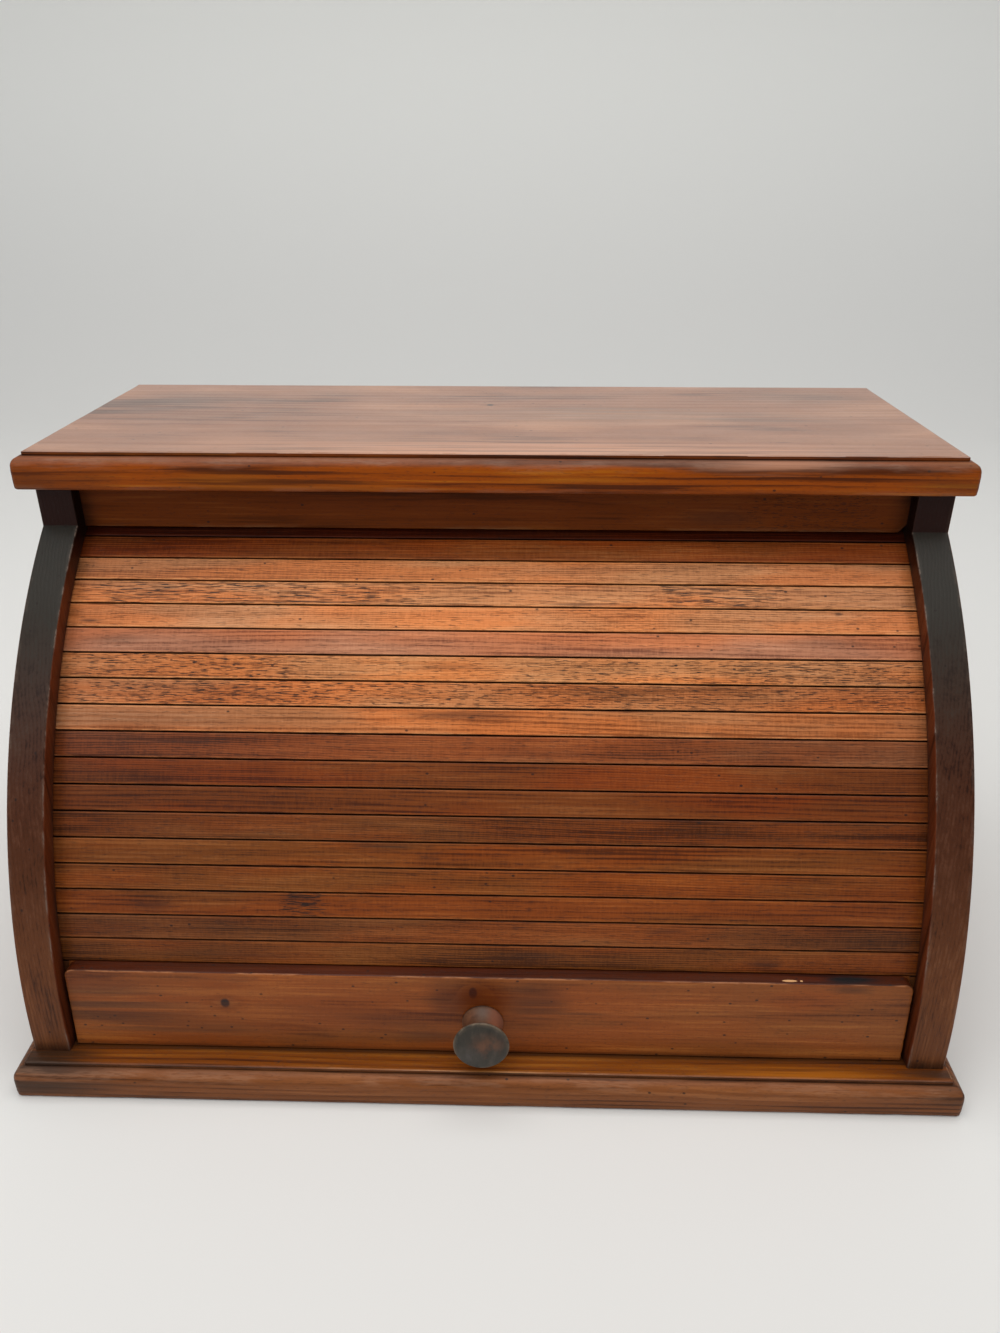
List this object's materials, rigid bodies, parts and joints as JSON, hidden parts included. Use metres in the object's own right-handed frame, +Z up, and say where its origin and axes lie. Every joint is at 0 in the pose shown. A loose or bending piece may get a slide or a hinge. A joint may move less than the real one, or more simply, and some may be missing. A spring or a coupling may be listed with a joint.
{
  "type": "roll-top bread box",
  "caption": "Wooden roll-top bread box: moulded base and top, quadrant cheeks, and a slatted tambour curtain with a knob on its lead rail.",
  "frame": {"origin": "centre of the underside of the base board", "axes": "+X right, -Y front where the curtain's knob is, +Z up"},
  "size_m": [0.482, 0.304, 0.3005],
  "materials": {
    "base_board": "stained pine, worn satin varnish",
    "top_board": "stained pine, semi-gloss varnish",
    "left_cheek": "dark stained pine, worn arrises",
    "right_cheek": "dark stained pine, worn arrises",
    "back_panel": "stained pine",
    "top_rail": "stained pine",
    "lead_rail": "stained pine with small knots",
    "slats": "stained pine, each slat a little different",
    "knob": "turned wood, paint worn to grey-brown",
    "canvas": "plain canvas glued to the slats",
    "dowel_wood": "beech dowel",
    "steel_screws": "plain steel, dulled",
    "steel_nails": "plain steel, dulled"
  },
  "bodies": {
    "cabinet": {"base_board": "base_board", "top_board": "top_board", "left_cheek": "left_cheek", "right_cheek": "right_cheek", "back_panel": "back_panel", "top_rail": "top_rail", "base_screws": "steel_screws", "top_dowels": "dowel_wood", "back_nails": "steel_nails"},
    "curtain_rail": {"lead_rail": "lead_rail", "knob": "knob", "knob_screw": "steel_screws", "canvas_lead": "canvas"},
    "slat_01_link": {"slat_01": "slats", "canvas_01": "canvas"},
    "slat_02_link": {"slat_02": "slats", "canvas_02": "canvas"},
    "slat_03_link": {"slat_03": "slats", "canvas_03": "canvas"},
    "slat_04_link": {"slat_04": "slats", "canvas_04": "canvas"},
    "slat_05_link": {"slat_05": "slats", "canvas_05": "canvas"},
    "slat_06_link": {"slat_06": "slats", "canvas_06": "canvas"},
    "slat_07_link": {"slat_07": "slats", "canvas_07": "canvas"},
    "slat_08_link": {"slat_08": "slats", "canvas_08": "canvas"},
    "slat_09_link": {"slat_09": "slats", "canvas_09": "canvas"},
    "slat_10_link": {"slat_10": "slats", "canvas_10": "canvas"},
    "slat_11_link": {"slat_11": "slats", "canvas_11": "canvas"},
    "slat_12_link": {"slat_12": "slats", "canvas_12": "canvas"},
    "slat_13_link": {"slat_13": "slats", "canvas_13": "canvas"},
    "slat_14_link": {"slat_14": "slats", "canvas_14": "canvas"},
    "slat_15_link": {"slat_15": "slats", "canvas_15": "canvas"},
    "slat_16_link": {"slat_16": "slats", "canvas_16": "canvas"},
    "slat_17_link": {"slat_17": "slats", "canvas_17": "canvas"},
    "slat_18_link": {"slat_18": "slats", "canvas_18": "canvas"},
    "slat_19_link": {"slat_19": "slats", "canvas_19": "canvas"},
    "slat_20_link": {"slat_20": "slats", "canvas_20": "canvas"}
  },
  "joints": [
    {"name": "tambour_roll", "type": "hinge", "parent": "cabinet", "child": "curtain_rail", "pos_m": [0, 0.16085, 0.0185], "axis": [-1, 0, 0], "range_deg": [0, 45]},
    {"name": "slat_01_roll", "type": "hinge", "parent": "cabinet", "child": "slat_01_link", "pos_m": [0, 0.15254, 0.02162], "axis": [-1, 0, 0], "range_deg": [-1, 48.35]},
    {"name": "slat_02_roll", "type": "hinge", "parent": "cabinet", "child": "slat_02_link", "pos_m": [0, 0.1409, 0.02679], "axis": [-1, 0, 0], "range_deg": [-1, 50.44]},
    {"name": "slat_03_roll", "type": "hinge", "parent": "cabinet", "child": "slat_03_link", "pos_m": [0, 0.13112, 0.03139], "axis": [-1, 0, 0], "range_deg": [-1, 52.36]},
    {"name": "slat_04_roll", "type": "hinge", "parent": "cabinet", "child": "slat_04_link", "pos_m": [0, 0.12051, 0.03721], "axis": [-1, 0, 0], "range_deg": [-1, 54.71]},
    {"name": "slat_05_roll", "type": "hinge", "parent": "cabinet", "child": "slat_05_link", "pos_m": [0, 0.10922, 0.04448], "axis": [-1, 0, 0], "range_deg": [-1, 57.62]},
    {"name": "slat_06_roll", "type": "hinge", "parent": "cabinet", "child": "slat_06_link", "pos_m": [0, 0.09796, 0.05282], "axis": [-1, 0, 0], "range_deg": [-1, 61.04]},
    {"name": "slat_07_roll", "type": "hinge", "parent": "cabinet", "child": "slat_07_link", "pos_m": [0, 0.08686, 0.06234], "axis": [-1, 0, 0], "range_deg": [-1, 65.11]},
    {"name": "slat_08_roll", "type": "hinge", "parent": "cabinet", "child": "slat_08_link", "pos_m": [0, 0.07623, 0.07293], "axis": [-1, 0, 0], "range_deg": [-1, 69.93]},
    {"name": "slat_09_roll", "type": "hinge", "parent": "cabinet", "child": "slat_09_link", "pos_m": [0, 0.06587, 0.08508], "axis": [-1, 0, 0], "range_deg": [-1, 75.99]},
    {"name": "slat_10_roll", "type": "hinge", "parent": "cabinet", "child": "slat_10_link", "pos_m": [0, 0.05642, 0.09832], "axis": [-1, 0, 0], "range_deg": [-1, 83.41]},
    {"name": "slat_11_roll", "type": "hinge", "parent": "cabinet", "child": "slat_11_link", "pos_m": [0, 0.04833, 0.11229], "axis": [-1, 0, 0], "range_deg": [-1, 92.37]},
    {"name": "slat_12_roll", "type": "hinge", "parent": "cabinet", "child": "slat_12_link", "pos_m": [0, 0.04202, 0.12621], "axis": [-1, 0, 0], "range_deg": [-1, 102.81]},
    {"name": "slat_13_roll", "type": "hinge", "parent": "cabinet", "child": "slat_13_link", "pos_m": [0, 0.03753, 0.1404], "axis": [-1, 0, 0], "range_deg": [-1, 115.41]},
    {"name": "slat_14_roll", "type": "hinge", "parent": "cabinet", "child": "slat_14_link", "pos_m": [0, 0.03659, 0.1495], "axis": [-1, 0, 0], "range_deg": [-1, 124.41]},
    {"name": "slat_15_roll", "type": "hinge", "parent": "cabinet", "child": "slat_15_link", "pos_m": [0, 0.03663, 0.15694], "axis": [-1, 0, 0], "range_deg": [-1, 132.62]},
    {"name": "slat_16_roll", "type": "hinge", "parent": "cabinet", "child": "slat_16_link", "pos_m": [0, 0.03676, 0.16136], "axis": [-1, 0, 0], "range_deg": [-1, 137.81]},
    {"name": "slat_17_roll", "type": "hinge", "parent": "cabinet", "child": "slat_17_link", "pos_m": [0, 0.03692, 0.16448], "axis": [-1, 0, 0], "range_deg": [-1, 141.59]},
    {"name": "slat_18_roll", "type": "hinge", "parent": "cabinet", "child": "slat_18_link", "pos_m": [0, 0.03677, 0.1661], "axis": [-1, 0, 0], "range_deg": [-1, 143.48]},
    {"name": "slat_19_roll", "type": "hinge", "parent": "cabinet", "child": "slat_19_link", "pos_m": [0, 0.0362, 0.16657], "axis": [-1, 0, 0], "range_deg": [-1, 143.83]},
    {"name": "slat_20_roll", "type": "hinge", "parent": "cabinet", "child": "slat_20_link", "pos_m": [0, 0.03529, 0.16648], "axis": [-1, 0, 0], "range_deg": [-1, 143.38]}
  ],
  "couplings": [
    {"joint": "slat_01_roll", "follows": "tambour_roll", "ratio": 1.03},
    {"joint": "slat_02_roll", "follows": "tambour_roll", "ratio": 1.0765},
    {"joint": "slat_03_roll", "follows": "tambour_roll", "ratio": 1.1191},
    {"joint": "slat_04_roll", "follows": "tambour_roll", "ratio": 1.1714},
    {"joint": "slat_05_roll", "follows": "tambour_roll", "ratio": 1.236},
    {"joint": "slat_06_roll", "follows": "tambour_roll", "ratio": 1.312},
    {"joint": "slat_07_roll", "follows": "tambour_roll", "ratio": 1.4024},
    {"joint": "slat_08_roll", "follows": "tambour_roll", "ratio": 1.5096},
    {"joint": "slat_09_roll", "follows": "tambour_roll", "ratio": 1.6443},
    {"joint": "slat_10_roll", "follows": "tambour_roll", "ratio": 1.809},
    {"joint": "slat_11_roll", "follows": "tambour_roll", "ratio": 2.0083},
    {"joint": "slat_12_roll", "follows": "tambour_roll", "ratio": 2.2402},
    {"joint": "slat_13_roll", "follows": "tambour_roll", "ratio": 2.5202},
    {"joint": "slat_14_roll", "follows": "tambour_roll", "ratio": 2.7202},
    {"joint": "slat_15_roll", "follows": "tambour_roll", "ratio": 2.9026},
    {"joint": "slat_16_roll", "follows": "tambour_roll", "ratio": 3.018},
    {"joint": "slat_17_roll", "follows": "tambour_roll", "ratio": 3.102},
    {"joint": "slat_18_roll", "follows": "tambour_roll", "ratio": 3.1441},
    {"joint": "slat_19_roll", "follows": "tambour_roll", "ratio": 3.1518},
    {"joint": "slat_20_roll", "follows": "tambour_roll", "ratio": 3.1417}
  ]
}
